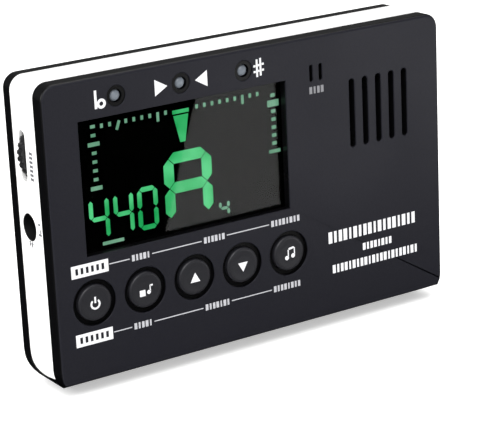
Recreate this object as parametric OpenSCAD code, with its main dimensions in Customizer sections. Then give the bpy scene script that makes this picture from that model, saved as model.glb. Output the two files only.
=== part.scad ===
// Handheld instrument tuner and metronome with a black front and rear shell,
// a white band between them, a lit display and a fold-out foot at the back.
// Lengths are millimetres. X runs to the right, Y to the back and Z up.
// The origin is on the floor, in the middle of the footprint with the foot open.

/* [Body] */
// Width of the body
body_w = 110; // [108:1:140]
// Height of the body over the rounded bottom
body_h = 73.8; // [73:0.1:95]
// Depth from the front face to the rear face
body_d = 18.4; // [18.2:0.1:24]
// Height of the front face's lower edge above the floor
chin_z = 3.5; // [2.5:0.1:5]
// Radius of the rounded bottom behind the chin
round_r = 8.9; // [8.4:0.1:9.2]
// Radius of the two top corners
corner_r = 3.5; // [3:0.5:7]
// Radius of the two bottom corners
foot_corner_r = 6.5; // [4:0.5:8]
// Thickness of the side, top and rear walls
wall = 1.6; // [1.4:0.1:2]
// Thickness of the front face
face_t = 2.2; // [2:0.1:2.5]
// Depth of the front shell's rim
front_rim = 4.2; // [2.6:0.1:5]
// Depth of the rear shell's rim
rear_rim = 3.5; // [2.8:0.1:3.6]

/* [Display] */
// Left edge of the display opening from the body's left side
window_left = 8.7; // [7:0.1:12]
// Top edge of the display opening below the body's top
window_top = 9.4; // [9:0.1:12]
// Width of the display opening
window_w = 55.6; // [46:0.1:57]
// Height of the display opening
window_h = 31.4; // [28:0.1:32]

/* [Controls] */
// First button's centre from the body's left side
button_left = 9.8; // [9:0.1:12]
// Distance between two buttons
button_pitch = 13.4; // [12.5:0.1:13.8]
// Height of the buttons' centres above the floor
button_z = 21.9; // [20:0.1:23]
// Radius of a button cap
button_r = 4.3; // [3.8:0.1:4.6]
// Radius of the dish around a button
dish_r = 5.5; // [5.2:0.1:6]
// Depth of the dish around a button
dish_depth = 0.9; // [0.5:0.1:1.2]
// How far a button stands out of the front face
button_proud = 0.3; // [0:0.1:0.6]
// How far a button can be pressed
button_travel = 0.35; // [0.2:0.05:0.4]
// Radius of a signal lamp
led_r = 1.5; // [1.2:0.1:1.8]
// Lamps' centres below the body's top
led_top = 5.1; // [4.8:0.1:5.6]

/* [Sound] */
// Speaker's centre from the body's right side
speaker_right = 18.6; // [17:0.1:20]
// Speaker's centre below the body's top
speaker_top = 20.7; // [19:0.1:24]
// Outer radius of the speaker's frame
speaker_r = 14; // [12:0.5:14]
// Height of a speaker slot
slot_h = 17; // [12:0.5:20]
// Width of a speaker slot
slot_w = 1.6; // [1:0.1:2]
// Distance between two speaker slots
slot_pitch = 3.95; // [3:0.05:4.5]

/* [Jack and volume] */
// Radius of the pickup jack's bore
jack_r = 3.25; // [3.2:0.05:3.3]
// Height of the jack's centre above the floor
jack_z = 39.4; // [38:0.1:42]
// Depth of the jack's bore from the body's left side
jack_depth = 29; // [26:0.5:29]
// Radius of the volume wheel
wheel_r = 8; // [7:0.1:8.5]
// How far the volume wheel stands out of the side
wheel_proud = 0.8; // [0.5:0.1:1]
// Height of the volume wheel's centre above the floor
wheel_z = 56.1; // [55:0.1:57]

/* [Power and foot] */
// Radius of one AAA cell
cell_r = 5.25; // [4.35:0.05:5.25]
// Length of one AAA cell over its button
cell_l = 44.5; // [43:0.1:44.5]
// Length of the foot from its hinge to its tip
leg_l = 30; // [25:0.5:31]
// Width of the foot
leg_w = 23; // [16:0.5:23]
// Height of the foot's hinge above the floor
leg_z = 13.2; // [12.8:0.1:14]

/* [Hidden] */
$fn = 48;

// Clearances: a still fit, a running fit, and a gap round something that moves
still = 0.05;
run = 0.06;
gap = 0.25;

// Body profile seen from the left, as [y, z] with y from the front face
round_c = [body_d - round_r, round_r];
function tangent(p, r) = let (d = round_c - p, l = norm(d), t = sqrt(l * l - r * r),
    a = atan2(d[1], d[0]) - asin(r / l)) [p[0] + t * cos(a), p[1] + t * sin(a)];
chin_end = tangent([0, chin_z], round_r);
chin_slope = (chin_end[1] - chin_z) / chin_end[0];
chin_angle = atan(chin_slope);
// The band's lower end, above the body's bottom where the front shell's rim ends
band_low = chin_z + (front_rim - 1) * chin_slope + 2.4;
tongue_crease = 0.04;

// Inner faces
half_w = body_w / 2;
inner_x = half_w - wall;
inner_top = body_h - wall;
inner_back = body_d - wall;

// Control parts stand off the board and the face by this much
loose = 0.1;

// Display stack from the front face to the board
window_x = [window_left - half_w, window_left - half_w + window_w];
window_z = [body_h - window_top - window_h, body_h - window_top];
window_lip = 1.2;
lens_t = 0.6;
glass_t = 1.1;
backlight_t = 0.7;
frame_rim = 1.1;
zebra_h = 1.1;
board_y = face_t + lens_t + glass_t + backlight_t;
board_t = 1.2;
board_back = board_y + board_t;
board_edge = 1.2;
board_x = [-inner_x + board_edge, window_x[1] + 3.1];
board_z = [9, inner_top - board_edge];

// Controls
button_count = 5;
function button_x(i) = button_left - half_w + i * button_pitch;
flange_r = 5;
flange_t = 0.5;
switch_side = 4.6;
plunger_r = 0.9;
plunger_t = 0.3;
// Lamps' centres, over the display and clear of the case screw in the corner
led_left = 18.8;
led_pitch = 17;
led_x = [for (i = [0:2]) led_left - half_w + i * led_pitch];
led_z = body_h - led_top;
led_ring_r = led_r + 0.9;
led_ring_depth = 0.35;
led_flange_r = led_r + 0.4;
led_flange_t = 1.2;
dome_y = led_r + 0.1;

// Sound
speaker_x = half_w - speaker_right;
speaker_z = body_h - speaker_top;
speaker_seat = 1.2;
seat_h = 2;
slot_count = 5;
magnet_r = 7;
magnet_t = 3.5;
basket_t = 4.6;
basket_wall = 0.8;
rim_w = 1.6;
rim_t = 1;
cone_t = 0.4;
cone_y = 0.2;
cap_y = 2.4;
cap_r = 3;
mic_left = 18.25;
mic_top = 8.9;
mic_x = speaker_x - mic_left;
mic_z = body_h - mic_top;
mic_r = 3;
mic_wall = 0.8;
mic_gap = 0.5;
mic_depth = 2.7;
mic_slot = [0.9, 4];
mic_slot_gap = 2.7;

// Jack and volume control
jack_half = 4.6;
jack_y = board_back + loose + jack_half;
jack_collar_r = 3.9;
jack_end = 1;
contact_x = [-half_w + 8, -half_w + jack_depth - 2];
contact_w = 4;
leaf_t = 0.4;
wheel_t = 2.2;
wheel_y = jack_y + 0.5;
wheel_x = -half_w - wheel_proud + wheel_r;
wheel_notches = 30;
notch_r = 0.45;
wheel_slot = [3, 12];
stub_r = 1.6;
pot_half = 5;
pot_gap = 0.2;
wheel_screw_r = 0.6;
wheel_head_r = 1.5;
wheel_head_t = 0.8;

// Screws that hold the shells, and screws that hold the board
boss_r = 2.2;
boss_top = inner_back - 2.4;
screw_in = 5.4;
case_screw_at = [[-half_w + screw_in, body_h - screw_in], [half_w - screw_in, body_h - screw_in + 0.6],
    [-half_w + screw_in, 13], [half_w - screw_in, 35.4]];
case_screw_l = 9;
case_screw_r = 1;
case_head_r = 1.8;
case_head_t = 1.1;
case_sink = 0.3;
post_r = 1.7;
board_screw_at = [[button_x(0) + button_pitch / 2, 12.4], [button_x(3) + button_pitch / 2, 12.4],
    [led_x[1] - led_pitch / 2, led_z], [led_x[2] + led_pitch / 2, led_z]];
board_screw_r = 0.7;
board_screw_l = 2.6;
board_head_r = 1.4;
board_head_t = 0.8;

// Parts on the board: the chip, its pins, the crystal, the cans and the small parts
chip_side = 10;
chip_t = 1.4;
chip_at = [-16, 54];
pin_count = 8;
pin_pitch = 1.1;
pin = [1.2, 0.6, 0.5];
crystal_r = 1.5;
crystal_x = [-3, 5];
crystal_z = 60;
can_at = [[-30, 62], [-34, 50], [4, 44]];
can_r = 2.5;
can_l = 5.4;
chip_part_at = [[-26, 46], [-26, 49], [-26, 52], [-6, 46], [-6, 49], [-6, 52], [2, 52], [-40, 22],
    [-26, 30], [-12, 30]];
chip_part = [2, 0.8, 1.25];

// Battery bay behind the door
door_t = wall;
bay_gap = 0.3;
cell_y = inner_back - bay_gap - cell_r;
tray_wall = 0.8;
contact_t = 0.4;
contact_half = 4;
spring_l = 3;
bay_x1 = inner_x - bay_gap - tray_wall;
bay_x0 = bay_x1 - cell_l - spring_l - 2 * contact_t;
cell_x1 = bay_x1 - contact_t;
lower_cell_z = 15.4;
cell_z = [lower_cell_z, lower_cell_z + 2 * cell_r + bay_gap];
bay_z = [cell_z[0] - cell_r - bay_gap / 2, cell_z[1] + cell_r + bay_gap / 2];
nub_r = 1.9;
nub_l = 0.9;
door_in = 1.2;
door_x = [bay_x0 + door_in, bay_x1 - door_in];
door_z = [bay_z[0] + 1.6, bay_z[1] - 0.4];
door_pivot = [body_d - door_t / 2, door_z[0] + door_t / 2];
door_pin_r = 0.5;
door_pin_l = 1;
grip_count = 4;
grip_pitch = 1.4;
grip_h = 0.7;
grip_w = 12;
grip_depth = 0.4;
grip_top = 2.3;
spring_wire = 0.35;
spring_turns = 3;
spring_r0 = 3.4;
spring_r1 = 2.2;
spring_steps = 12;
spring_sides = 8;

// Foot, folded out so that its pad rests on the floor
pad_r = 1.3;
leg_t = 2;
barrel_r = 1.2;
leg_y = body_d - barrel_r;
leg_to_bay = 2.6;
leg_x0 = bay_x0 - tray_wall - leg_to_bay - leg_w;
leg_open = 90 + asin((leg_z - pad_r) / (leg_l - pad_r));
leg_reach = leg_y + (leg_l - pad_r) * sin(leg_open) + pad_r;
leg_pin_r = 0.8;
leg_pin_end = 1.2;
leg_edge = 4;
leg_recess = 0.6;
pocket_gap = 0.5;
pocket_floor = 1;
pocket_depth = 2 * barrel_r + 0.3;
// The open foot passes the pocket's lower edge with room below it
pocket_x = [leg_x0 - pocket_gap, leg_x0 + leg_w + pocket_gap];
pocket_z = [leg_z - barrel_r - 1.9, leg_z + leg_l + 1];
grow = [-pocket_floor, pocket_floor];

// Plain solids placed by their limits
module box(x, y, z) translate([x[0], y[0], z[0]]) cube([x[1] - x[0], y[1] - y[0], z[1] - z[0]]);
module rod_x(yz, r, x)
    translate([x[0], yz[0], yz[1]]) rotate([0, 90, 0]) cylinder(r = r, h = x[1] - x[0]);
module rod_y(xz, r, y)
    translate([xz[0], y[0], xz[1]]) rotate([-90, 0, 0]) cylinder(r = r, h = y[1] - y[0]);
// A flat outline drawn as [y, z], carried from x[0] to x[1]
module along_x(x) translate([x[0], 0, 0]) rotate([90, 0, 90]) linear_extrude(x[1] - x[0]) children();
// A flat outline drawn as [x, z], carried from y[0] to y[1]
module along_y(y) translate([0, y[1], 0]) rotate([90, 0, 0]) linear_extrude(y[1] - y[0]) children();
// An upright slot with round ends, drawn as [x, z] about its centre
module slot(w, h) {
    square([w, h - w], center = true);
    for (s = [-1, 1]) translate([0, s * (h - w) / 2]) circle(w / 2);
}
// Everything is drawn with the front face at y = 0 and then put over its footprint
module placed() translate([0, (button_proud - leg_reach) / 2, 0]) children();

// Front outline of the body, with x from the middle
module outline(inset) {
    w = half_w - inset;
    rt = corner_r - inset;
    rb = foot_corner_r - inset;
    polygon([[-w, inset + rb], [-w + rb, inset], [w - rb, inset], [w, inset + rb],
        [w, body_h - inset - rt], [w - rt, body_h - inset], [rt - w, body_h - inset],
        [-w, body_h - inset - rt]]);
    for (s = [-1, 1]) {
        translate([s * (w - rb), inset + rb]) circle(rb);
        translate([s * (w - rt), body_h - inset - rt]) circle(rt);
    }
}
// Side profile from a front limit to a rear limit over the rounded bottom
module profile(front, low, r, top, crease = 0) {
    t = tangent([front, low], r);
    polygon([[front, low], t, round_c, [round_c[0] + r, round_c[1]], [round_c[0] + r, top], [front, top]]);
    translate(round_c) circle(r - crease);
}
module body_solid() intersection() {
    along_x([-half_w, half_w]) profile(0, chin_z, round_r, body_h);
    along_y([-1, body_d + 1]) outline(0);
}
module cavity() intersection() {
    along_x([-inner_x, inner_x])
        profile(face_t, chin_z + face_t * chin_slope + wall / cos(chin_angle), round_r - wall, inner_top);
    along_y([0, body_d]) outline(wall);
}
// The part of the side that the white band fills: a tongue with a round lower end,
// which meets its flats at a fine crease
module band_zone() along_x([-half_w - 1, half_w + 1])
    profile(front_rim - 1, band_low, round_r - rear_rim, body_h + 1, tongue_crease);

// ---- Casing ----
module front_shell() placed() color("#33333a") difference() {
    union() {
        difference() {
            intersection() {
                body_solid();
                box([-half_w - 1, half_w + 1], [-1, front_rim], [-1, body_h + 1]);
            }
            cavity();
        }
        for (p = case_screw_at) rod_y(p, boss_r, [face_t - 0.2, boss_top]);
        for (p = board_screw_at) rod_y(p, post_r, [face_t - 0.2, board_y]);
        difference() {
            rod_y([speaker_x, speaker_z], speaker_r + speaker_seat, [face_t - 0.2, face_t + seat_h]);
            rod_y([speaker_x, speaker_z], speaker_r + still, [face_t, face_t + seat_h + 1]);
        }
    }
    box(window_x, [-1, face_t + 1], window_z);
    for (i = [0:button_count - 1]) {
        rod_y([button_x(i), button_z], dish_r, [-1, dish_depth]);
        rod_y([button_x(i), button_z], button_r + gap / 2, [-1, face_t + 1]);
    }
    for (x = led_x) {
        rod_y([x, led_z], led_ring_r, [-1, led_ring_depth]);
        rod_y([x, led_z], led_r + still, [-1, face_t + 1]);
    }
    for (i = [0:slot_count - 1])
        translate([speaker_x + (i - (slot_count - 1) / 2) * slot_pitch, 0, speaker_z])
            along_y([-1, face_t + 1]) slot(slot_w, slot_h);
    for (s = [-1, 1])
        translate([mic_x + s * mic_slot_gap / 2, 0, mic_z])
            along_y([-1, face_t + 1]) slot(mic_slot[0], mic_slot[1]);
    for (p = case_screw_at) rod_y(p, case_screw_r, [face_t + 1, boss_top + 1]);
    for (p = board_screw_at) rod_y(p, board_screw_r, [face_t + 0.4, board_y + 1]);
}
module side_band() placed() color("white") difference() {
    intersection() {
        along_y([front_rim, body_d]) difference() {
            outline(0);
            outline(wall);
        }
        band_zone();
    }
    translate([-half_w, wheel_y, wheel_z]) rotate([0, 0, 90])
        along_y([-2, 2]) slot(wheel_slot[0], wheel_slot[1]);
    rod_x([jack_y, jack_z], jack_collar_r + still, [-half_w - 1, -half_w + wall + 1]);
}
module rear_shell() placed() color("#1c1c20") difference() {
    union() {
        difference() {
            body_solid();
            box([-half_w - 1, half_w + 1], [-1, front_rim], [-1, body_h + 1]);
            band_zone();
            cavity();
        }
        for (p = case_screw_at) rod_y(p, boss_r + 0.6, [boss_top + still, inner_back + 0.2]);
        // pocket that the foot folds into
        box(pocket_x + grow, [body_d - pocket_depth - pocket_floor, inner_back + 0.2], pocket_z + grow);
    }
    box(pocket_x, [body_d - pocket_depth, body_d + 1], pocket_z);
    rod_x([leg_y, leg_z], leg_pin_r, [leg_x0 - leg_pin_end, leg_x0 + leg_w + leg_pin_end]);
    // opening for the battery door, with two holes for its pivot pins
    box([door_x[0] - gap, door_x[1] + gap], [inner_back - 1, body_d + 1], [door_z[0] - gap, door_z[1] + gap]);
    rod_x(door_pivot, door_pin_r + run, [door_x[0] - door_pin_l - gap, door_x[1] + door_pin_l + gap]);
    for (p = case_screw_at) {
        rod_y(p, case_screw_r + 0.1, [boss_top - 1, body_d + 1]);
        rod_y(p, case_head_r + 0.1, [body_d - case_head_t - case_sink, body_d + 1]);
    }
}

// ---- Display ----
module display_window() placed() color("#20242a")
    box([window_x[0] - window_lip, window_x[1] + window_lip], [face_t, face_t + lens_t],
        [window_z[0] - window_lip, window_z[1] + window_lip]);
module lcd_glass() placed() color("#0c1410")
    box([window_x[0] - window_lip, window_x[1] + window_lip],
        [face_t + lens_t, face_t + lens_t + glass_t], [window_z[0] - window_lip, window_z[1] + window_lip]);
module backlight() placed() color("#d8f0dc")
    box(window_x, [board_y - backlight_t, board_y], [window_z[0] + zebra_h, window_z[1] - zebra_h]);
module lcd_frame() placed() color("#e8e8e4") {
    lip = window_lip + still;
    difference() {
        box([window_x[0] - lip - frame_rim, window_x[1] + lip + frame_rim], [face_t, board_y],
            [window_z[0] - lip - frame_rim, window_z[1] + lip + frame_rim]);
        box([window_x[0] - lip, window_x[1] + lip], [face_t - 1, board_y + 1],
            [window_z[0] - lip, window_z[1] + lip]);
    }
}
module zebra_strips() placed() color("#3a3a3a")
    for (z = [window_z[0] - window_lip, window_z[1] + window_lip - zebra_h])
        box([window_x[0] + 2, window_x[1] - 2], [board_y - backlight_t, board_y], [z, z + zebra_h]);

// ---- Circuit board ----
module main_board() placed() color("#1f6b3a") difference() {
    box(board_x, [board_y, board_back], board_z);
    for (p = case_screw_at) rod_y(p, boss_r + 0.2, [board_y - 1, board_back + 1]);
    for (p = board_screw_at) rod_y(p, board_screw_r + 0.1, [board_y - 1, board_back + 1]);
}
module main_chip() placed() color("#202020") translate([chip_at[0], board_back, chip_at[1]]) {
    box([-chip_side / 2, chip_side / 2], [loose, chip_t], [-chip_side / 2, chip_side / 2]);
    for (s = [-1, 1], i = [0:pin_count - 1])
        translate([s * (chip_side / 2 + 0.5), pin[1] / 2, (i - (pin_count - 1) / 2) * pin_pitch])
            cube(pin, center = true);
}
module crystal() placed() color("silver")
    rod_x([board_back + crystal_r, crystal_z], crystal_r, crystal_x);
module board_parts() placed() {
    color("#303848") for (p = can_at) rod_y(p, can_r, [board_back, board_back + can_l]);
    color("#b89868") for (p = chip_part_at) translate([p[0], board_back, p[1]]) cube(chip_part);
}
module tact_switches() placed() color("#2a2a2a") for (i = [0:button_count - 1])
    translate([button_x(i), 0, button_z]) {
        y0 = face_t + loose + flange_t + button_travel + still;
        side = [-switch_side / 2, switch_side / 2];
        box(side, [y0 + plunger_t, board_y], side);
        rod_y([0, 0], plunger_r, [y0, y0 + plunger_t + loose]);
    }
module led(i) placed() color("#9aa0a4") {
    translate([led_x[i], 0, led_z]) {
        rod_y([0, 0], led_r, [dome_y, board_y]);
        rod_y([0, 0], led_flange_r, [board_y - led_flange_t, board_y]);
        translate([0, dome_y, 0]) sphere(led_r);
    }
}
module button(i) placed() color("#26262b") translate([button_x(i), 0, button_z]) {
    rod_y([0, 0], button_r, [-button_proud, face_t + loose + flange_t]);
    rod_y([0, 0], flange_r, [face_t + loose, face_t + loose + flange_t]);
}

// ---- Speaker and microphone ----
module speaker_at() placed() translate([speaker_x, face_t, speaker_z]) rotate([-90, 0, 0]) children();
module speaker_frame() speaker_at() color("#5a5e62") rotate_extrude()
    polygon([[speaker_r, 0], [speaker_r, rim_t], [magnet_r + 1, basket_t], [magnet_r - 2, basket_t],
        [magnet_r - 2, basket_t - basket_wall], [magnet_r + 0.6, basket_t - basket_wall],
        [speaker_r - rim_w, 0.6], [speaker_r - rim_w, 0]]);
module speaker_cone() speaker_at() color("#2c2824") rotate_extrude()
    polygon([[0, cap_y - 0.4], [cap_r, cap_y], [speaker_r - rim_w - 1.4, cone_y],
        [speaker_r - rim_w - loose, cone_y], [speaker_r - rim_w - loose, cone_y + cone_t],
        [speaker_r - rim_w - 1.2, cone_y + cone_t], [cap_r, cap_y + cone_t], [0, cap_y - 0.4 + cone_t]]);
module speaker_magnet() speaker_at() color("#707478")
    translate([0, 0, basket_t]) cylinder(r = magnet_r, h = magnet_t);
module mic_capsule() placed() color("silver")
    rod_y([mic_x, mic_z], mic_r, [face_t + mic_gap, face_t + mic_gap + mic_depth]);
module mic_boot() placed() color("#202020") difference() {
    rod_y([mic_x, mic_z], mic_r + mic_wall, [face_t, face_t + mic_gap + mic_depth]);
    rod_y([mic_x, mic_z], mic_r, [face_t + mic_gap, face_t + mic_gap + mic_depth + 1]);
    rod_y([mic_x, mic_z], mic_r - 0.4, [face_t - 1, face_t + 1]);
}

// ---- Pickup jack and volume control ----
module jack_body() placed() color("#f0f0ec") difference() {
    union() {
        box([-inner_x, -half_w + jack_depth + jack_end], [jack_y - jack_half, jack_y + jack_half],
            [jack_z - jack_half, jack_z + jack_half]);
        rod_x([jack_y, jack_z], jack_collar_r, [-half_w, -inner_x + 1]);
    }
    rod_x([jack_y, jack_z], jack_r, [-half_w - 1, -half_w + jack_depth]);
}
module jack_springs() placed() color("#c8a860") for (z = [jack_z - jack_half - leaf_t, jack_z + jack_half])
    box(contact_x, [jack_y - contact_w / 2, jack_y + contact_w / 2], [z, z + leaf_t]);
module pot_body() placed() color("#3a3228") difference() {
    box([wheel_x - pot_half, wheel_x + pot_half], [board_back, wheel_y - wheel_t / 2 - pot_gap],
        [wheel_z - pot_half, wheel_z + pot_half]);
    rod_y([wheel_x, wheel_z], stub_r + run, [board_back + 1, wheel_y]);
}
module volume_wheel() placed() color("#161618") translate([wheel_x, wheel_y, wheel_z]) difference() {
    union() {
        rod_y([0, 0], wheel_r, [-wheel_t / 2, wheel_t / 2]);
        rod_y([0, 0], stub_r, [board_back + 1.2 - wheel_y, 0]);
    }
    for (i = [0:wheel_notches - 1]) rotate([0, i * 360 / wheel_notches, 0])
        rod_y([wheel_r + 0.1, 0], notch_r, [-wheel_t, wheel_t]);
    rod_y([0, 0], wheel_screw_r, [-wheel_t / 2, wheel_t]);
}
module wheel_screw() placed() color("silver")
    translate([wheel_x, wheel_y + wheel_t / 2, wheel_z]) difference() {
    union() {
        rod_y([0, 0], wheel_head_r, [0, wheel_head_t]);
        rod_y([0, 0], wheel_screw_r, [-wheel_t + 0.3, 0.1]);
    }
    for (a = [0, 90]) rotate([0, a, 0]) box([-0.9, 0.9], [wheel_head_t / 2, 1], [-0.18, 0.18]);
}

// ---- Battery bay ----
// One cell drawn along X from its flat end to its button
module cell() {
    color("#b0b4b8") rod_x([0, 0], cell_r, [0, cell_l - nub_l]);
    color("silver") rod_x([0, 0], nub_r, [cell_l - nub_l - 1, cell_l]);
}
module cell_upper() placed() translate([cell_x1 - cell_l, cell_y, cell_z[1]]) cell();
module cell_lower() placed()
    translate([bay_x0 + contact_t + cell_l, cell_y, cell_z[0]]) rotate([0, 0, 180]) cell();
module battery_tray() placed() color("#1c1c20") difference() {
    box([bay_x0 - tray_wall, bay_x1 + tray_wall], [board_back + 0.1, inner_back - 0.3],
        [bay_z[0] - tray_wall, bay_z[1] + tray_wall]);
    box([bay_x0, bay_x1], [0, body_d], bay_z);
}
module battery_plates() placed() color("#d0d0c8") for (x = [bay_x0, bay_x1 - contact_t])
    box([x, x + contact_t], [cell_y - contact_half, cell_y + contact_half], [bay_z[0] + 1, bay_z[1] - 1]);
// A conical coil of wire along X, from its wide end to its narrow end
function coil(i) = let (n = spring_steps * spring_turns, t = i / n,
    r = spring_r0 + (spring_r1 - spring_r0) * t)
    [(spring_l - 2 * spring_wire - 0.1) * t, r, 360 * spring_turns * t];
module spring() {
    n = spring_steps * spring_turns;
    points = [for (i = [0:n], k = [0:spring_sides - 1]) let (c = coil(i), b = 360 * k / spring_sides,
        r = c[1] + spring_wire * cos(b)) [c[0] + spring_wire * sin(b), r * cos(c[2]), r * sin(c[2])]];
    sides = [for (i = [0:n - 1], k = [0:spring_sides - 1]) let (a = i * spring_sides + k,
        b = i * spring_sides + (k + 1) % spring_sides) [a, b, b + spring_sides, a + spring_sides]];
    ends = [[for (k = [spring_sides - 1:-1:0]) k], [for (k = [0:spring_sides - 1]) n * spring_sides + k]];
    polyhedron(points, concat(sides, ends));
}
module battery_springs() placed() color("silver") {
    translate([bay_x0 + contact_t + spring_wire, cell_y, cell_z[1]]) spring();
    translate([cell_x1 - spring_wire, cell_y, cell_z[0]]) rotate([0, 0, 180]) spring();
}
module battery_door() placed() color("#1c1c20") difference() {
    union() {
        box(door_x, [inner_back, body_d], [door_pivot[1], door_z[1]]);
        rod_x(door_pivot, door_t / 2, door_x);
        rod_x(door_pivot, door_pin_r, [door_x[0] - door_pin_l, door_x[1] + door_pin_l]);
    }
    for (i = [0:grip_count - 1])
        translate([(door_x[0] + door_x[1]) / 2, body_d, door_z[1] - grip_top - grip_pitch * i])
            box([-grip_w / 2, grip_w / 2], [-grip_depth, 1], [-grip_h, 0]);
}

// ---- Foot ----
// Drawn folded up against the body, then turned out about its hinge
module unfolded() placed() translate([0, leg_y, leg_z]) rotate([-leg_open, 0, 0]) children();
module stand_leg() unfolded() color("#1c1c20") difference() {
    union() {
        box([leg_x0, leg_x0 + leg_w], [-leg_t / 2, leg_t / 2], [0, leg_l - 2 * pad_r]);
        rod_x([0, 0], barrel_r, [leg_x0, leg_x0 + leg_w]);
    }
    rod_x([0, 0], leg_pin_r + run, [leg_x0 - 1, leg_x0 + leg_w + 1]);
    box([leg_x0 + leg_edge, leg_x0 + leg_w - leg_edge], [leg_t / 2 - leg_recess, leg_t],
        [leg_edge, leg_l - 2 * pad_r - leg_edge]);
}
module stand_pin() placed() color("silver")
    rod_x([leg_y, leg_z], leg_pin_r, [leg_x0 - leg_pin_end, leg_x0 + leg_w + leg_pin_end]);
module stand_pad() unfolded() color("#303030") {
    rod_x([0, leg_l - pad_r], pad_r, [leg_x0, leg_x0 + leg_w]);
    box([leg_x0, leg_x0 + leg_w], [-leg_t / 2, leg_t / 2], [leg_l - 2 * pad_r, leg_l - pad_r]);
}

// ---- Screws ----
module screw(r, head_r, head_t, l) difference() {
    union() {
        rod_y([0, 0], head_r, [0, head_t]);
        rod_y([0, 0], r, [-l, 0.1]);
    }
    for (a = [0, 90]) rotate([0, a, 0])
        box([-head_r * 0.6, head_r * 0.6], [head_t * 0.5, head_t + 1], [-0.2, 0.2]);
}
module case_screws() placed() color("#8a8c90") for (p = case_screw_at)
    translate([p[0], body_d - case_head_t - case_sink, p[1]])
        screw(case_screw_r, case_head_r, case_head_t, case_screw_l);
module board_screws() placed() color("#b0b4b8") for (p = board_screw_at)
    translate([p[0], board_back, p[1]]) screw(board_screw_r, board_head_r, board_head_t, board_screw_l);

front_shell();
side_band();
rear_shell();
display_window();
lcd_glass();
backlight();
lcd_frame();
zebra_strips();
main_board();
main_chip();
crystal();
board_parts();
tact_switches();
led(0);  // led_left
led(1);  // led_centre
led(2);  // led_right
button(0);  // button_1
button(1);  // button_2
button(2);  // button_3
button(3);  // button_4
button(4);  // button_5
speaker_frame();
speaker_cone();
speaker_magnet();
mic_capsule();
mic_boot();
jack_body();
jack_springs();
pot_body();
volume_wheel();
wheel_screw();
cell_upper();
cell_lower();
battery_tray();
battery_plates();
battery_springs();
battery_door();
stand_leg();
stand_pin();
stand_pad();
case_screws();
board_screws();
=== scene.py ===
from math import cos, hypot, pi, radians, sin

import bmesh
import bpy
from mathutils import Matrix, Vector


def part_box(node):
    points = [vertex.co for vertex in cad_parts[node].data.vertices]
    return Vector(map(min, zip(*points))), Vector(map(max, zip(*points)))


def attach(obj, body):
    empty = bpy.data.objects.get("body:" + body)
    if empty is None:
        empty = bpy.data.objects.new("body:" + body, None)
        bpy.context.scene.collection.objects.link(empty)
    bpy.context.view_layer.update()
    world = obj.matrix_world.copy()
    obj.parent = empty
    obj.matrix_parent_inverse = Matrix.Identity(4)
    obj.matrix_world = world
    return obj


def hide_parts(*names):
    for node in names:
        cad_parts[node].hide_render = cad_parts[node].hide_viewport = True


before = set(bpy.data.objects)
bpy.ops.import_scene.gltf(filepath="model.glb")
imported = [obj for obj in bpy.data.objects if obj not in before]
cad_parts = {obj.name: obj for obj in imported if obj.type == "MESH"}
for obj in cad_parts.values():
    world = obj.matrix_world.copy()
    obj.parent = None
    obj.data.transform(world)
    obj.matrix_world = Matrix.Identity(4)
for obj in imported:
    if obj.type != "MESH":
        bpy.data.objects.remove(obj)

scene = bpy.context.scene
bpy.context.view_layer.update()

# ---- Camera ----
# A long lens a little above the tuner and to its left, so that the face, the white
# side and a strip of the top are seen. It leans slightly about its own axis.
mm = 0.001
face_lo, face_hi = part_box("front_shell")
aim = Vector((face_lo.x + 52.7 * mm, face_lo.y, face_hi.z - 40.9 * mm))
azimuth, elevation, lean = radians(-32.85), radians(17.44), radians(-2.64)
distance, focal_length = 477.4 * mm, 145.36
away = Vector((sin(azimuth) * cos(elevation), -cos(azimuth) * cos(elevation), sin(elevation)))
lens_data = bpy.data.cameras.new("camera")
lens_data.lens, lens_data.sensor_width = focal_length, 36
lens_data.clip_start, lens_data.clip_end = 0.01, 20
camera = bpy.data.objects.new("camera", lens_data)
scene.collection.objects.link(camera)
camera.matrix_world = (Matrix.Translation(aim + away * distance)
                       @ away.to_track_quat("Z", "Y").to_matrix().to_4x4() @ Matrix.Rotation(lean, 4, "Z"))
scene.camera = camera
scene.view_settings.view_transform = "Standard"


# ---- Floor and light ----
# A white paper sweep under large soft panels, as for a catalogue. Black cards, seen only
# in reflections, keep the black plastic black and darken the left part of the window.
def linear(hex_colour):
    """An sRGB hex colour as linear red, green, blue and alpha."""
    parts = [int(hex_colour[i:i + 2], 16) / 255 for i in (1, 3, 5)]
    return [c / 12.92 if c <= 0.04045 else ((c + 0.055) / 1.055) ** 2.4 for c in parts] + [1]


def add(material, kind, settings=None, **inputs):
    """Adds a shader node. Inputs are values, or (node, output) pairs that are linked. An input's
    name is written with _ for a space, or as _ and its number."""
    tree = material.node_tree
    new = tree.nodes.new("ShaderNode" + kind)
    for key, value in (settings or {}).items():
        setattr(new, key, value)
    for key, value in inputs.items():
        socket = new.inputs[int(key[1:])] if key[1:].isdigit() else new.inputs[key.replace("_", " ")]
        if isinstance(value, tuple) and isinstance(value[0], bpy.types.Node):
            tree.links.new(value[0].outputs[value[1]], socket)
        else:
            socket.default_value = value
    return new


def surface(name, colour, roughness, **finish):
    """A new material whose shader has these even values; it returns the material and its shader."""
    material = bpy.data.materials.new(name)
    material.use_nodes = True
    shader = material.node_tree.nodes["Principled BSDF"]
    shader.inputs["Base Color"].default_value = linear(colour)
    shader.inputs["Roughness"].default_value = roughness
    for key, value in finish.items():
        shader.inputs[key.replace("_", " ")].default_value = value
    return material, shader


def deselect():
    """Leaves object mode with nothing selected."""
    if bpy.context.object and bpy.context.object.mode != "OBJECT":
        bpy.ops.object.mode_set(mode="OBJECT")
    bpy.ops.object.select_all(action="DESELECT")


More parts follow.
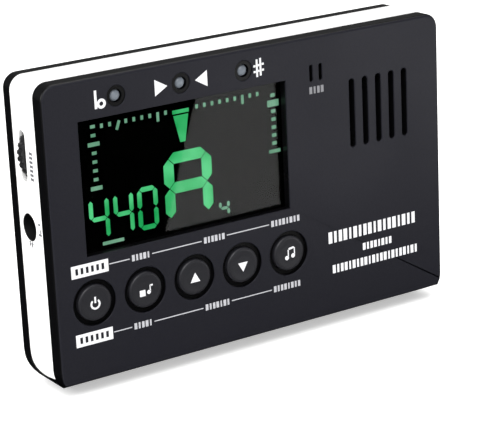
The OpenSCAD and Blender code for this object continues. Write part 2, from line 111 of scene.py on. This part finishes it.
paper, _ = surface("lit_paper", "#f2f2f1", 0.95, Specular_IOR_Level=0.0,
                              Emission_Color=(1, 1, 1, 1), Emission_Strength=0.45)
deselect()
bpy.ops.mesh.primitive_circle_add(vertices=96, radius=3, fill_type="NGON", location=(0, 0, 0))
floor = bpy.context.object
floor.name = "floor"
floor.data.materials.append(paper)

card_paint, _ = surface("black_card", "#000000", 1.0, Specular_IOR_Level=0.0)
window_lo, window_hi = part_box("display_window")
card_level = 0.6 * mm
near_edge = face_lo.y - 84 * mm
# The slanting card's right edge is where the mirrored dark in the window ends.
slant_x = 0.0259
cards = {"slanting_card": ((-1.2, near_edge), (slant_x, near_edge), (0.8, -1.2), (-1.2, -1.2)),
         "back_card": ((-2.5, near_edge), (2.5, near_edge), (2.5, 2.5), (-2.5, 2.5))}
for name, outline in cards.items():
    deselect()
    bpy.ops.mesh.primitive_circle_add(vertices=len(outline), radius=1, fill_type="NGON")
    card = bpy.context.object
    card.name = name
    for point, (x, y) in zip(card.data.vertices, outline):
        point.co = (x, y, card_level)
    card.data.materials.append(card_paint)
    for ray in ("camera", "diffuse", "volume_scatter", "shadow"):
        setattr(card, "visible_" + ray, False)

sky = bpy.data.worlds.new("studio")
sky.use_nodes = True
ray = sky.node_tree.nodes.new("ShaderNodeLightPath")
dimmer = sky.node_tree.nodes.new("ShaderNodeMapRange")
seen_level, mirrored_level = 0.72, 0.12
dimmer.inputs["To Min"].default_value, dimmer.inputs["To Max"].default_value = seen_level, mirrored_level
sky.node_tree.links.new(ray.outputs["Is Glossy Ray"], dimmer.inputs["Value"])
backdrop = sky.node_tree.nodes["Background"]
backdrop.inputs["Color"].default_value = (1, 1, 1, 1)
sky.node_tree.links.new(dimmer.outputs["Result"], backdrop.inputs["Strength"])
scene.world = sky
for name, place, power, size in (("key", (-0.5, -0.55, 0.9), 7, 0.7), ("top", (0.25, 0.15, 1.1), 6, 0.9),
                                 ("left_fill", (-1.0, 0.1, 0.35), 5, 0.6)):
    panel = bpy.data.lights.new(name, "AREA")
    panel.energy, panel.size = power, size
    lamp = bpy.data.objects.new(name, panel)
    scene.collection.objects.link(lamp)
    lamp.location = place
    lamp.rotation_euler = (Vector(place) - Vector((0, 0, 0.04))).to_track_quat("Z", "Y").to_euler()


# ---- Front shell ----
# The front half of the case is injection moulded in black ABS. Its outer face has a
# fine spark-eroded grain; its rounded rim, openings and key dishes are glossier, and carry a
# near-black colour as painted shade.
def copied(node, name):
    """A copy of a CAD node as whole faces, in edit mode with nothing selected."""
    deselect()
    piece = bpy.data.objects.new(name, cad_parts[node].data.copy())
    piece.data.materials.clear()
    scene.collection.objects.link(piece)
    piece.select_set(True)
    bpy.context.view_layer.objects.active = piece
    bpy.ops.object.mode_set(mode="EDIT")
    bpy.ops.mesh.select_mode(type="EDGE")
    bpy.ops.mesh.select_all(action="SELECT")
    bpy.ops.mesh.remove_doubles(threshold=0.002 * mm)
    bpy.ops.mesh.dissolve_limited(angle_limit=radians(0.2))
    bpy.ops.mesh.select_all(action="DESELECT")
    return piece


def round_edges(piece, chosen, width, segments=3):
    """Rounds the sharp edges whose middle the chosen test picks."""
    mesh = bmesh.from_edit_mesh(piece.data)
    for edge in mesh.edges:
        sharp = len(edge.link_faces) == 2 and edge.calc_face_angle() > radians(25)
        edge.select = sharp and chosen((edge.verts[0].co + edge.verts[1].co) / 2)
    mesh.select_flush_mode()
    bmesh.update_edit_mesh(piece.data)
    bpy.ops.mesh.bevel(offset=width * mm, segments=segments, profile=0.5, clamp_overlap=False,
                       affect="EDGES")
    bpy.ops.mesh.select_all(action="DESELECT")


def finished(piece, material, body, *nodes):
    """Smooths a piece, gives it its material and body, and lets it stand for its CAD nodes."""
    deselect()
    piece.select_set(True)
    bpy.context.view_layer.objects.active = piece
    bpy.ops.object.mode_set(mode="EDIT")
    bpy.ops.mesh.select_face_by_sides(number=4, type="GREATER")
    bpy.ops.mesh.quads_convert_to_tris(quad_method="BEAUTY", ngon_method="BEAUTY")
    bpy.ops.mesh.beautify_fill(angle_limit=radians(0.5))
    bpy.ops.object.mode_set(mode="OBJECT")
    bpy.ops.object.shade_smooth_by_angle(angle=radians(32))
    for face in piece.data.polygons:
        if max(abs(part) for part in face.normal) > 0.99999:
            face.use_smooth = False
    bpy.ops.object.modifier_add(type="WEIGHTED_NORMAL")
    piece.modifiers[-1].keep_sharp = True
    bpy.ops.object.modifier_apply(modifier=piece.modifiers[-1].name)
    piece.data.materials.append(material)
    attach(piece, body)
    if nodes:
        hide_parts(*nodes)
    return piece


def cloudy(name, colour, second, roughness, spot, depth, uneven=0.05, **finish):
    """A material whose colour wanders between two shades in spots of the given size in mm, with a bump of
    the given depth in mm, and whose gloss is uneven over some centimetres, as handling leaves it."""
    material, shader = surface(name, colour, roughness, **finish)
    place = add(material, "TexCoord")
    spots = add(material, "TexNoise", Vector=(place, "Object"), Scale=1 / (spot * mm), Detail=3.0)
    wear = add(material, "TexNoise", Vector=(place, "Object"), Scale=1 / (25 * mm), Detail=2.0)
    tone = add(material, "Mix", {"data_type": "RGBA"}, _0=(spots, "Fac"), _6=linear(colour),
               _7=linear(second))
    gloss = add(material, "MapRange", Value=(wear, "Fac"), From_Min=0.3, From_Max=0.7,
                To_Min=roughness - uneven, To_Max=roughness + uneven)
    relief = add(material, "Bump", Height=(spots, "Fac"), Distance=depth * mm)
    links = material.node_tree.links
    links.new(tone.outputs[2], shader.inputs["Base Color"])
    links.new(gloss.outputs["Result"], shader.inputs["Roughness"])
    links.new(relief.outputs["Normal"], shader.inputs["Normal"])
    return material


def inset_of(point):
    """Roughly how far a point lies inside the outline of the case, seen from the front."""
    side = abs(point.x) - (face_hi.x - outline_radius)
    end = abs(point.z - face_hi.z / 2) - (face_hi.z / 2 - outline_radius)
    return outline_radius - hypot(max(side, 0), max(end, 0)) - min(max(side, end), 0)


def at(value, plane):
    """Whether a value lies on a plane."""
    return abs(value - plane) < 0.01 * mm


# ABS reflects little at this gloss. Its grain is near 0.1 mm, drawn at 0.5 mm so that it shows.
# The polished rims mirror the dark of the room, and their near-black base colour is painted shade, so they
# look blacker than the grain.
soft_gloss = 0.22
black_abs = cloudy("black_grained_abs", "#1b1b22", "#22222a", 0.46, 0.5, 0.02, IOR=1.54,
                   Specular_IOR_Level=soft_gloss)
shaded_rim_abs = cloudy("black_abs_painted_shade", "#070708", "#0a0a0c", 0.3, 6, 0.003, IOR=1.54,
                 Specular_IOR_Level=soft_gloss)


def polish_and_shade(piece, behind, ahead):
    """Gives the smoother finish, with a near-black colour as painted shade, to all of a piece between two
    planes across Y.
    """
    piece.data.materials.append(shaded_rim_abs)
    for face in piece.data.polygons:
        if behind < face.center.y < ahead:
            face.material_index = 1


# The face's outer edge is rounded most, its openings less, and the seam at the band is
# only broken. The sloping chin starts a little above the floor.
outline_radius = 6 * mm
rim_round, opening_round, seam_round = 0.7, 0.2, 0.12
front = copied("front_shell", "front_case")
face_y = face_lo.y
grain_depth = 0.25 * mm
band_lo, band_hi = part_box("side_band")
chin_z = face_hi.z - 70.3 * mm
round_edges(front, lambda p: at(p.y, face_y) and (inset_of(p) < mm or at(p.z, chin_z)), rim_round, 4)
round_edges(front, lambda p: at(p.y, face_y) and inset_of(p) > 2 * mm, opening_round)
round_edges(front, lambda p: at(p.y, band_lo.y) and inset_of(p) < 0.5 * mm, seam_round, 2)
finished(front, black_abs, "housing", "front_shell")
# Everything behind the face's grain (rim, sides, openings and key dishes) gets the near-black painted shade.
polish_and_shade(front, face_y + grain_depth, face_hi.y + mm)


# ---- Side band ----
# A white ABS ring clamped between the two black halves. It is polished, with a slot
# for the volume wheel and a hole for the jack on the left.
white_abs = cloudy("white_polished_abs", "#f6f6f5", "#efefee", 0.3, 6, 0.004, IOR=1.54)
band = copied("side_band", "side_band_trim")
round_edges(band, lambda p: at(p.y, band_lo.y) and inset_of(p) < 0.5 * mm, seam_round, 2)
round_edges(band, lambda p: at(p.x, face_lo.x) and band_lo.y + mm < p.y < band_hi.y - mm, 0.25)
finished(band, white_abs, "housing", "side_band")


# ---- Rear shell ----
# The rear half is moulded in the same black ABS. It curves under the case, and holds
# the pocket for the foot and the opening for the cells.
rear_lo, rear_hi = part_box("rear_shell")
back_abs = cloudy("black_matt_abs", "#141417", "#1b1b1f", 0.5, 0.5, 0.02, IOR=1.54,
                  Specular_IOR_Level=0.35)
rear = copied("rear_shell", "rear_case")
round_edges(rear, lambda p: at(p.y, rear_hi.y) and inset_of(p) < mm, 0.35, 3)
round_edges(rear, lambda p: at(p.y, rear_hi.y) and inset_of(p) > 2 * mm, opening_round)
finished(rear, back_abs, "housing", "rear_shell")
# Everything but the rear face itself (sides, the curve under the case, the pocket and the door opening) gets
# the near-black painted shade.
polish_and_shade(rear, rear_lo.y - mm, rear_hi.y - grain_depth)


# ---- Display ----
# A negative liquid crystal cell, black with clear figures, lit green from behind. A
# clear acrylic window lies over it, coated so that it mirrors about half as much.
lens_plastic, shader = surface("coated_clear_acrylic", "#ffffff", 0.0, IOR=1.22, Transmission_Weight=1.0)
haze = add(lens_plastic, "TexNoise", Vector=(add(lens_plastic, "TexCoord"), "Object"), Scale=1 / (12 * mm))
tint = add(lens_plastic, "Mix", {"data_type": "RGBA"}, _0=(haze, "Fac"), _6=linear("#ffffff"),
           _7=linear("#f6f8f7"))
lens_plastic.node_tree.links.new(tint.outputs[2], shader.inputs["Base Color"])
gap_behind = 0.14 * mm
lens = copied("display_window", "display_lens")
mesh = bmesh.from_edit_mesh(lens.data)
for corner in mesh.verts:
    corner.select = corner.co.y > window_hi.y - 0.1 * mm
mesh.select_flush(True)
bmesh.update_edit_mesh(lens.data)
bpy.ops.transform.translate(value=(0, -gap_behind, 0))
finished(lens, lens_plastic, "housing", "display_window")

polariser = cloudy("black_polarising_film", "#030403", "#050605", 0.3, 9, 0.0, Specular_IOR_Level=0.0)


def paint(material, *nodes):
    """Gives CAD nodes that keep their shape a material."""
    for name in nodes:
        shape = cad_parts[name].data
        shape.materials.clear()
        shape.materials.append(material)


paint(polariser, "lcd_glass")


def flat_marks(name, outlines, place, thickness, material, body="housing", turn=0):
    """Thin flat shapes on one plane, from closed outlines of (across, up) points in mm about a place.
    They face forward, or are turned about the upright axis by some degrees."""
    deselect()
    drawing = bpy.data.curves.new(name, "CURVE")
    drawing.dimensions, drawing.fill_mode = "2D", "BOTH"
    drawing.extrude = thickness / 2 * mm
    for outline in outlines:
        line = drawing.splines.new("POLY")
        line.points.add(len(outline) - 1)
        line.use_cyclic_u = True
        for point, (across_mm, up_mm) in zip(line.points, outline):
            point.co = (across_mm * mm, up_mm * mm, 0, 1)
    piece = bpy.data.objects.new(name, drawing)
    scene.collection.objects.link(piece)
    piece.select_set(True)
    bpy.context.view_layer.objects.active = piece
    bpy.ops.object.convert(target="MESH")
    piece = bpy.context.object
    piece.matrix_world = (Matrix.Translation(place) @ Matrix.Rotation(radians(turn), 4, "Z")
                          @ Matrix.Rotation(pi / 2, 4, "X"))
    bpy.ops.object.transform_apply(location=True, rotation=True, scale=True)
    bpy.ops.object.mode_set(mode="EDIT")
    bpy.ops.mesh.select_all(action="SELECT")
    bpy.ops.mesh.remove_doubles(threshold=0.001 * mm)
    bpy.ops.mesh.normals_make_consistent(inside=False)
    deselect()
    piece.data.materials.append(material)
    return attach(piece, body)


def bar(x, z, width, height, turn=0):
    """A bar about its middle."""
    c, s = cos(radians(turn)), sin(radians(turn))
    u, v = width / 2, height / 2
    return [(x + c * a - s * b, z + s * a + c * b) for a, b in ((-u, -v), (u, -v), (u, v), (-u, v))]


def round_mark(x, z, radius, sides=24, turn=90, tall=1.0):
    """A dot, or with three sides an arrowhead that points at the turn's angle."""
    return [(x + radius * cos(radians(turn) + 2 * pi * i / sides),
             z + tall * radius * sin(radians(turn) + 2 * pi * i / sides)) for i in range(sides)]


def segment(start, end, width):
    """One stroke of a figure, pointed at both ends so that it meets its neighbours at a mitre."""
    (x0, z0), (x1, z1) = start, end
    length = hypot(x1 - x0, z1 - z0)
    u, v = (x1 - x0) / length * width / 2, (z1 - z0) / length * width / 2
    return [(x0, z0), (x0 + u + v, z0 + v - u), (x1 - u + v, z1 - v - u), (x1, z1),
            (x1 - u - v, z1 - v + u), (x0 + u - v, z0 + v + u)]


def figure(x, z, width, height, stroke, lit):
    """A seven-stroke figure whose lower left corner is at x, z; lit names its strokes."""
    gap = 0.12
    left, right, low, high = x + stroke / 2, x + width - stroke / 2, z + stroke / 2, z + height - stroke / 2
    middle = (low + high) / 2
    ends = {"top": ((left, high), (right, high)), "middle": ((left, middle), (right, middle)),
            "bottom": ((left, low), (right, low)), "upper_left": ((left, middle), (left, high)),
            "lower_left": ((left, low), (left, middle)), "upper_right": ((right, middle), (right, high)),
            "lower_right": ((right, low), (right, middle))}
    shapes = []
    for stroke_name in lit:
        (x0, z0), (x1, z1) = ends[stroke_name]
        dx, dz = (gap, 0) if z0 == z1 else (0, gap)
        shapes.append(segment((x0 + dx, z0 + dz), (x1 - dx, z1 - dz), stroke))
    return shapes


# Places on the display are in mm from the lower left corner of its opening. The cell
# lies behind the window, so it reaches a little further right and lower than the opening.
window_lip = 1.2
opening = Vector((window_lo.x + window_lip * mm, window_hi.y - 0.07 * mm, window_lo.z + window_lip * mm))
four = ("upper_left", "upper_right", "middle", "lower_right")
nought = ("top", "bottom", "upper_left", "lower_left", "upper_right", "lower_right")
note = ("top", "middle", "upper_left", "lower_left", "upper_right", "lower_right")
lit_green, shader = surface("backlit_green", "#000000", 0.5, Specular_IOR_Level=0.0, Emission_Strength=1.0)
spread = add(lit_green, "TexNoise", Vector=(add(lit_green, "TexCoord"), "Object"), Scale=1 / (9 * mm))
spread = add(lit_green, "MapRange", Value=(spread, "Fac"), From_Min=0.35, From_Max=0.6)
shade = add(lit_green, "Mix", {"data_type": "RGBA"}, _0=(spread, "Result"), _6=linear("#1fa356"),
            _7=linear("#57d287"))
lit_green.node_tree.links.new(shade.outputs[2], shader.inputs["Emission Color"])
figures = (figure(2.6, 2.2, 5.2, 10.3, 1.05, four) + figure(9.0, 2.2, 5.2, 10.3, 1.05, four)
           + figure(15.3, 2.2, 5.4, 10.3, 1.15, nought) + figure(22.7, 2.1, 13, 17, 2.7, note)
           + [[(25.9, 28.9), (30.3, 28.9), (30.3, 28.0), (25.9, 28.0)],
              [(26.1, 27.6), (30.1, 27.6), (29.0, 21.2), (27.6, 21.2)]])
flat_marks("display_figures", figures, opening, 0.06, lit_green)

dim_green, shader = surface("half_lit_green", "#000000", 0.5, Specular_IOR_Level=0.0, Emission_Strength=1.0)
spread = add(dim_green, "TexNoise", Vector=(add(dim_green, "TexCoord"), "Object"), Scale=1 / (4 * mm))
shade = add(dim_green, "Mix", {"data_type": "RGBA"}, _0=(spread, "Fac"), _6=linear("#3f7f5c"),
            _7=linear("#86b79b"))
dim_green.node_tree.links.new(shade.outputs[2], shader.inputs["Emission Color"])
scale_marks = [bar(8.4, 1.3, 5.6, 0.8)] + figure(37.2, 0.9, 3.0, 4.2, 0.75, four)
for i in range(8):
    long_mark = i in (2, 7)
    scale_marks.append(bar(5.0, 29.0 - 2.05 * i, 3.0 if long_mark else 1.2, 0.95 if long_mark else 0.75))
    scale_marks.append(bar(53.6, 27.8 - 1.95 * i, 3.2 if i in (1, 7) else 1.2, 0.85 if i != 1 else 1.6))
for i in range(22):
    tall = 2.2 if i in (3, 8, 19) else 1.0
    if i not in (0, 10, 11, 12):
        scale_marks.append(bar(5.2 + 2.1 * i, 29.3 - tall / 2, 0.7, tall, -20 if i == 3 else 0))
flat_marks("display_scale", scale_marks, opening, 0.05, dim_green)


# ---- Signal lamps ----
# Three 3 mm lamps of diffused epoxy, unlit and so milky grey, in dished rings; a flat near-black ring laid
# in each dish is painted shade.
epoxy = cloudy("diffused_clear_epoxy", "#5d636a", "#7b828a", 0.25, 1.5, 0.002, IOR=1.5)
paint(epoxy, "led_left", "led_centre", "led_right")
lamp_dish_shade = cloudy("black_painted_dish_shade", "#050506", "#09090b", 0.35, 1, 0.004, Specular_IOR_Level=0.3)
lamp_radius, ring_radius, ring_depth = 1.56, 2.32, 0.32 * mm
# Each lamp's dish gets a flat near-black ring as painted shade.
for side in ("left", "centre", "right"):
    lamp_lo, lamp_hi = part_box("led_" + side)
    middle = Vector(((lamp_lo.x + lamp_hi.x) / 2, face_y + ring_depth, (lamp_lo.z + lamp_hi.z) / 2))
    flat_marks("lamp_ring_" + side, [round_mark(0, 0, ring_radius, 40), round_mark(0, 0, lamp_radius, 40)],
               middle, 0.05, lamp_dish_shade)


# ---- Printed marks on the face ----
# Pad-printed white ink: signs beside the lamps, plain captions and the fine lines that
# join them. The captions are rows of blocks and hold no words.
white_ink = cloudy("white_pad_ink", "#f2f2f4", "#d9d9dd", 0.55, 0.8, 0.003)
ink_depth, ink_lift = 0.05, 0.01 * mm
corner = Vector((face_lo.x, face_y - ink_lift, face_hi.z))


def caption(left, right, low, high, pitch=1.0):
    """A row of upright blocks of three widths that stands for a line of type."""
    count = max(2, round((right - left) / pitch))
    step = (right - left) / count
    widths = (0.74, 0.5, 0.66, 0.74, 0.42)
    return [bar(left + step * (i + 0.5), (low + high) / 2, step * widths[i % 5], high - low)
            for i in range(count)]


def on_face(node, right=0.0, up=0.0):
    """A node's middle in mm from the face's upper left corner, with an offset."""
    lo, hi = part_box(node)
    return ((lo.x + hi.x) / 2 - corner.x) / mm + right, ((lo.z + hi.z) / 2 - corner.z) / mm + up


# The flat sign is a stem and a ring, and the sharp sign two uprights with two broken cross bars.
x, z = on_face("led_left", -4.2, -0.2)
flat_sign = [bar(x - 1.1, z + 0.2, 0.6, 4.2), round_mark(x + 0.3, z - 0.9, 1.15),
             round_mark(x + 0.3, z - 0.9, 0.5)]
x, z = on_face("led_centre")
arrows = [round_mark(x - 5.9, z, 2.2, 3, 0), round_mark(x + 5.9, z, 2.2, 3, 180)]
x, z = on_face("led_right", 4.2)
sharp_sign = [bar(x - 0.5, z, 0.5, 4.2), bar(x + 0.5, z + 0.2, 0.5, 4.2)]
for across, width, upper, lower in ((-1.15, 0.6, 0.55, -0.8), (0, 0.36, 0.65, -0.7), (1.15, 0.6, 0.8, -0.6)):
    sharp_sign += [bar(x + across, z + upper, width, 0.5), bar(x + across, z + lower, width, 0.5)]
flat_marks("lamp_signs", flat_sign + arrows + sharp_sign, corner, ink_depth, white_ink)

# Each row of captions starts with a white box with dark gaps, and a fine line joins the rest.
# Places are in mm from the face's upper left corner.
key_captions, key_lines = [], []
line_width, half_type = 0.24, 0.75
upper_row = (-43.6, -43.7, ((20, 25), (39.5, 45.5), (58.5, 67)))
lower_row = (-60.1, -60.15, ((19.5, 24.5), (39, 46), (58.5, 66.5)))
for up, box_middle, bars in (upper_row, lower_row):
    key_captions.append(bar(9.1, box_middle, 9.6, 3.0))
    key_captions += [bar(5.7 + 1.35 * i, box_middle, 0.7, 1.5) for i in range(6)]
    ends = [14.2] + [edge for pair in bars for edge in (pair[0] - 0.5, pair[1] + 0.5)]
    for line_start, line_end in zip(ends[0::2], ends[1::2]):
        key_lines.append(bar((line_start + line_end) / 2, up, line_end - line_start, line_width))
    for start, end in bars:
        key_lines += caption(start, end, up - half_type, up + half_type)
flat_marks("key_captions", key_captions, corner, ink_depth, white_ink)
soft_ink = cloudy("soft_white_pad_ink", "#c4c4c9", "#aeaeb3", 0.55, 0.8, 0.003)
flat_marks("key_lines", key_lines, corner, ink_depth, soft_ink)

title = (caption(75, 102, -52.2, -49.3, 1.5) + caption(85.3, 94.5, -56.0, -54.2, 1.2)
         + caption(76, 102.5, -60.0, -57.9, 1.2))
flat_marks("front_captions", title, corner, ink_depth, white_ink)
grey_ink = cloudy("grey_pad_ink", "#8a8a8e", "#77777b", 0.55, 0.8, 0.003)
x, z = on_face("mic_capsule")
flat_marks("mic_caption", caption(x - 2.2, x + 2.2, z - 5.0, z - 3.3, 1.0), corner, ink_depth, grey_ink)


# ---- Buttons ----
# Five round keys, moulded in black ABS with a rounded rim and a slightly hollow top
# for the fingertip. Each stands in a dish in the face and carries a printed sign.
key_abs = cloudy("black_satin_abs", "#202024", "#29292e", 0.4, 0.5, 0.012, IOR=1.54,
                 Specular_IOR_Level=0.42)
power = [[(1.3 * cos(radians(a)), 1.3 * sin(radians(a))) for a in range(130, 411, 20)]
         + [(0.85 * cos(radians(a)), 0.85 * sin(radians(a))) for a in range(410, 129, -20)],
         bar(0, 1.0, 0.45, 1.5)]
stop_and_note = [bar(-0.95, -0.35, 1.5, 1.5), round_mark(0.75, -0.35, 0.5), bar(1.12, 0.6, 0.26, 1.5, 0),
                 bar(1.5, 1.2, 0.7, 0.4)]
rise = [round_mark(0, -0.1, 1.55, 3, 90)]
fall = [round_mark(0, 0.2, 1.55, 3, -90)]
two_notes = [round_mark(-0.75, -0.75, 0.55), round_mark(1.05, -0.45, 0.55), bar(-0.33, 0.4, 0.28, 1.7),
             bar(1.47, 0.7, 0.28, 1.7), bar(0.57, 1.5, 1.5, 0.5, 9)]
for number, sign in enumerate((power, stop_and_note, rise, fall, two_notes), 1):
    name = f"button_{number}"
    key_lo, key_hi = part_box(name)
    key = copied(name, f"key_{number}")
    round_edges(key, lambda p: at(p.y, key_lo.y), 0.6, 4)
    mesh = bmesh.from_edit_mesh(key.data)
    for face in mesh.faces:
        face.select = at(face.calc_center_median().y, key_lo.y)
    bmesh.update_edit_mesh(key.data)
    bpy.ops.mesh.inset(thickness=0.5 * mm, depth=-0.06 * mm)
    bpy.ops.mesh.inset(thickness=0.9 * mm, depth=-0.07 * mm)
    finished(key, key_abs, name, name)
    middle = Vector(((key_lo.x + key_hi.x) / 2, key_lo.y + 0.12 * mm, (key_lo.z + key_hi.z) / 2 - 0.3 * mm))
    flat_marks(f"key_sign_{number}", sign, middle, ink_depth, white_ink, name)


# ---- Speaker and microphone ----
# A near-black cloth disc lies behind the slots as painted shade, so only a dull dark weave shows.
cone_lo, cone_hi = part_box("speaker_frame")
slot_shade_cloth, shader = surface("black_cloth_painted_shade", "#101012", 0.95, Specular_IOR_Level=0.2, Sheen_Weight=0.15)
place = add(slot_shade_cloth, "TexCoord")
threads = []
for direction in ("X", "Z"):  # threads 0.4 mm apart
    threads.append(add(slot_shade_cloth, "TexWave", {"bands_direction": direction}, Vector=(place, "Object"),
                       Scale=pi / 10 / (0.4 * mm)))
weave = add(slot_shade_cloth, "Math", {"operation": "MULTIPLY"}, _0=(threads[0], "Fac"), _1=(threads[1], "Fac"))
relief = add(slot_shade_cloth, "Bump", Height=(weave, 0), Distance=0.1 * mm)
slot_shade_cloth.node_tree.links.new(relief.outputs["Normal"], shader.inputs["Normal"])
mic_lo, mic_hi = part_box("mic_capsule")
cloth_y, cloth_depth = cone_lo.y + 0.02 * mm, 0.1 * mm
# The discs behind the speaker and microphone slots are painted shade.
for name, lo, hi, radius in (("speaker_shade_cloth", cone_lo, cone_hi, 12.2), ("mic_shade_cloth", mic_lo, mic_hi, 2.4)):
    deselect()
    middle = (lo + hi) / 2
    bpy.ops.mesh.primitive_circle_add(vertices=48, radius=radius * mm, fill_type="TRIFAN",
                                      rotation=(pi / 2, 0, 0), location=(middle.x, cloth_y, middle.z))
    disc = bpy.context.object
    disc.name = name
    bpy.ops.object.mode_set(mode="EDIT")
    bpy.ops.mesh.extrude_region_move(TRANSFORM_OT_translate={"value": (0, cloth_depth, 0)})
    bpy.ops.mesh.select_all(action="SELECT")
    bpy.ops.mesh.normals_make_consistent(inside=False)
    deselect()
    disc.select_set(True)
    bpy.ops.object.transform_apply(location=True, rotation=True, scale=True)
    disc.data.materials.append(slot_shade_cloth)
    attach(disc, "housing")
paint(cloudy("pressed_grey_steel", "#5a5e62", "#66696d", 0.4, 3, 0.004, Metallic=1.0), "speaker_frame")
paint(cloudy("black_paper_cone", "#26221f", "#332e2a", 0.85, 0.6, 0.03), "speaker_cone")
paint(cloudy("zinc_plated_steel", "#8b8f93", "#a4a8ab", 0.32, 5, 0.003, Metallic=1.0), "speaker_magnet",
      "mic_capsule", "crystal", "stand_pin", "wheel_screw", "board_screws")
paint(cloudy("black_silicone_rubber", "#18181a", "#202022", 0.75, 1, 0.01), "mic_boot")


# ---- Jack and volume wheel ----
# The pickup jack's white body shows as a ring in the band, round a bore coloured near-black
# as painted shade. The volume wheel is a black ribbed disc on the side of its control, one edge standing
# out.
jack_lo, jack_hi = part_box("jack_body")
jack_axis = Vector((0, (jack_lo.y + jack_hi.y) / 2, (jack_lo.z + jack_hi.z) / 2))
bore_shade = cloudy("jack_bore_painted_shade", "#09090a", "#0e0e10", 0.6, 1, 0.01)
jack = copied("jack_body", "jack_socket")
round_edges(jack, lambda p: at(p.x, jack_lo.x), 0.25)
finished(jack, white_abs, "housing", "jack_body")
# The bore's faces behind the white lip are coloured near-black: painted shade inside the white socket.
jack.data.materials.append(bore_shade)
bore_radius, lit_lip = 3.3 * mm, 0.3 * mm
for face in jack.data.polygons:
    radial = hypot(face.center.y - jack_axis.y, face.center.z - jack_axis.z)
    if radial < bore_radius and face.center.x > jack_lo.x + lit_lip:
        face.material_index = 1
paint(cloudy("black_ribbed_nylon", "#151517", "#1d1d20", 0.45, 0.6, 0.01, IOR=1.53), "volume_wheel")
dark_ink = cloudy("mid_grey_pad_ink", "#5c5c60", "#6b6b70", 0.55, 0.8, 0.003)
side_place = Vector((face_lo.x - ink_lift, face_y, face_hi.z))
side_marks = ([bar(-7.0, -22.4 + 1.0 * i, 1.5, 0.62) for i in range(7)]
              + [bar(-5.2, -35.0, 1.3, 0.5), bar(-4.9, -34.2, 0.5, 0.9), bar(-5.4, -32.6, 1.0, 0.5),
                 bar(-9.6, -38.2, 0.5, 1.1), bar(-10.6, -38.2, 0.5, 1.1), bar(-10.1, -38.9, 1.5, 0.4)])
flat_marks("side_captions", side_marks, side_place, ink_depth, dark_ink, turn=-90)


# ---- Foot and battery door ----
# Both are moulded in the rear shell's black ABS. The door's pull has ribs, and the foot
# has a thinned middle and ends in a soft pad that keeps the tuner from sliding.
def soften(node, name, body, width):
    """A copy of a node with all its sharp long edges rounded."""
    piece = copied(node, name)
    round_edges(piece, lambda p: True, width, 2)
    return finished(piece, back_abs, body, node)


soften("battery_door", "cell_door", "door", 0.12)
soften("stand_leg", "foot_leg", "stand", 0.15)
rubber = cloudy("grey_thermoplastic_rubber", "#2b2b2d", "#353538", 0.8, 0.8, 0.02)
paint(rubber, "stand_pad")
door_lo, door_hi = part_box("battery_door")
arrow_place = Vector(((door_lo.x + door_hi.x) / 2, door_hi.y, door_lo.z + 5 * mm))
flat_marks("door_arrow", [round_mark(0, 0, 1.7, 3, 90)], arrow_place, 0.12, back_abs, "door", turn=180)
paint(cloudy("black_zinc_plated_steel", "#3b3c3f", "#4c4d50", 0.35, 2, 0.004, Metallic=1.0), "case_screws")


# ---- Inside ----
# The parts behind the shells: a fibreglass board with green resist, the display's white
# frame and lit diffuser, the controls, and two cells in a black tray.
paint(cloudy("green_solder_resist", "#17582f", "#2a7a47", 0.35, 1.6, 0.03), "main_board")
paint(cloudy("black_epoxy_package", "#1a1a1b", "#232324", 0.6, 0.5, 0.01), "main_chip")
paint(cloudy("tan_ceramic", "#a98a5d", "#3b4252", 0.4, 6, 0.004), "board_parts")
paint(cloudy("black_nylon", "#232325", "#2d2d30", 0.5, 0.8, 0.01), "tact_switches", "battery_tray")
paint(cloudy("white_abs_frame", "#e6e6e2", "#dcdcd7", 0.45, 2, 0.005), "lcd_frame")
paint(cloudy("milky_polycarbonate", "#cfeedd", "#bfe4cf", 0.4, 3, 0.002), "backlight")
paint(cloudy("carbon_silicone_strip", "#2c2c2e", "#454548", 0.7, 0.3, 0.01), "zebra_strips")
paint(cloudy("tinned_spring_bronze", "#b59a66", "#c7ad7a", 0.28, 2, 0.003, Metallic=1.0), "jack_springs")
paint(cloudy("nickel_plated_steel", "#b9b8b0", "#cbcac3", 0.25, 3, 0.003, Metallic=1.0), "battery_plates",
      "battery_springs")
paint(cloudy("brown_phenolic", "#3a2f22", "#4a3d2d", 0.5, 1, 0.01), "pot_body")
paint(cloudy("printed_cell_sleeve", "#3d6f9b", "#c9ccd0", 0.3, 12, 0.002), "cell_upper", "cell_lower")
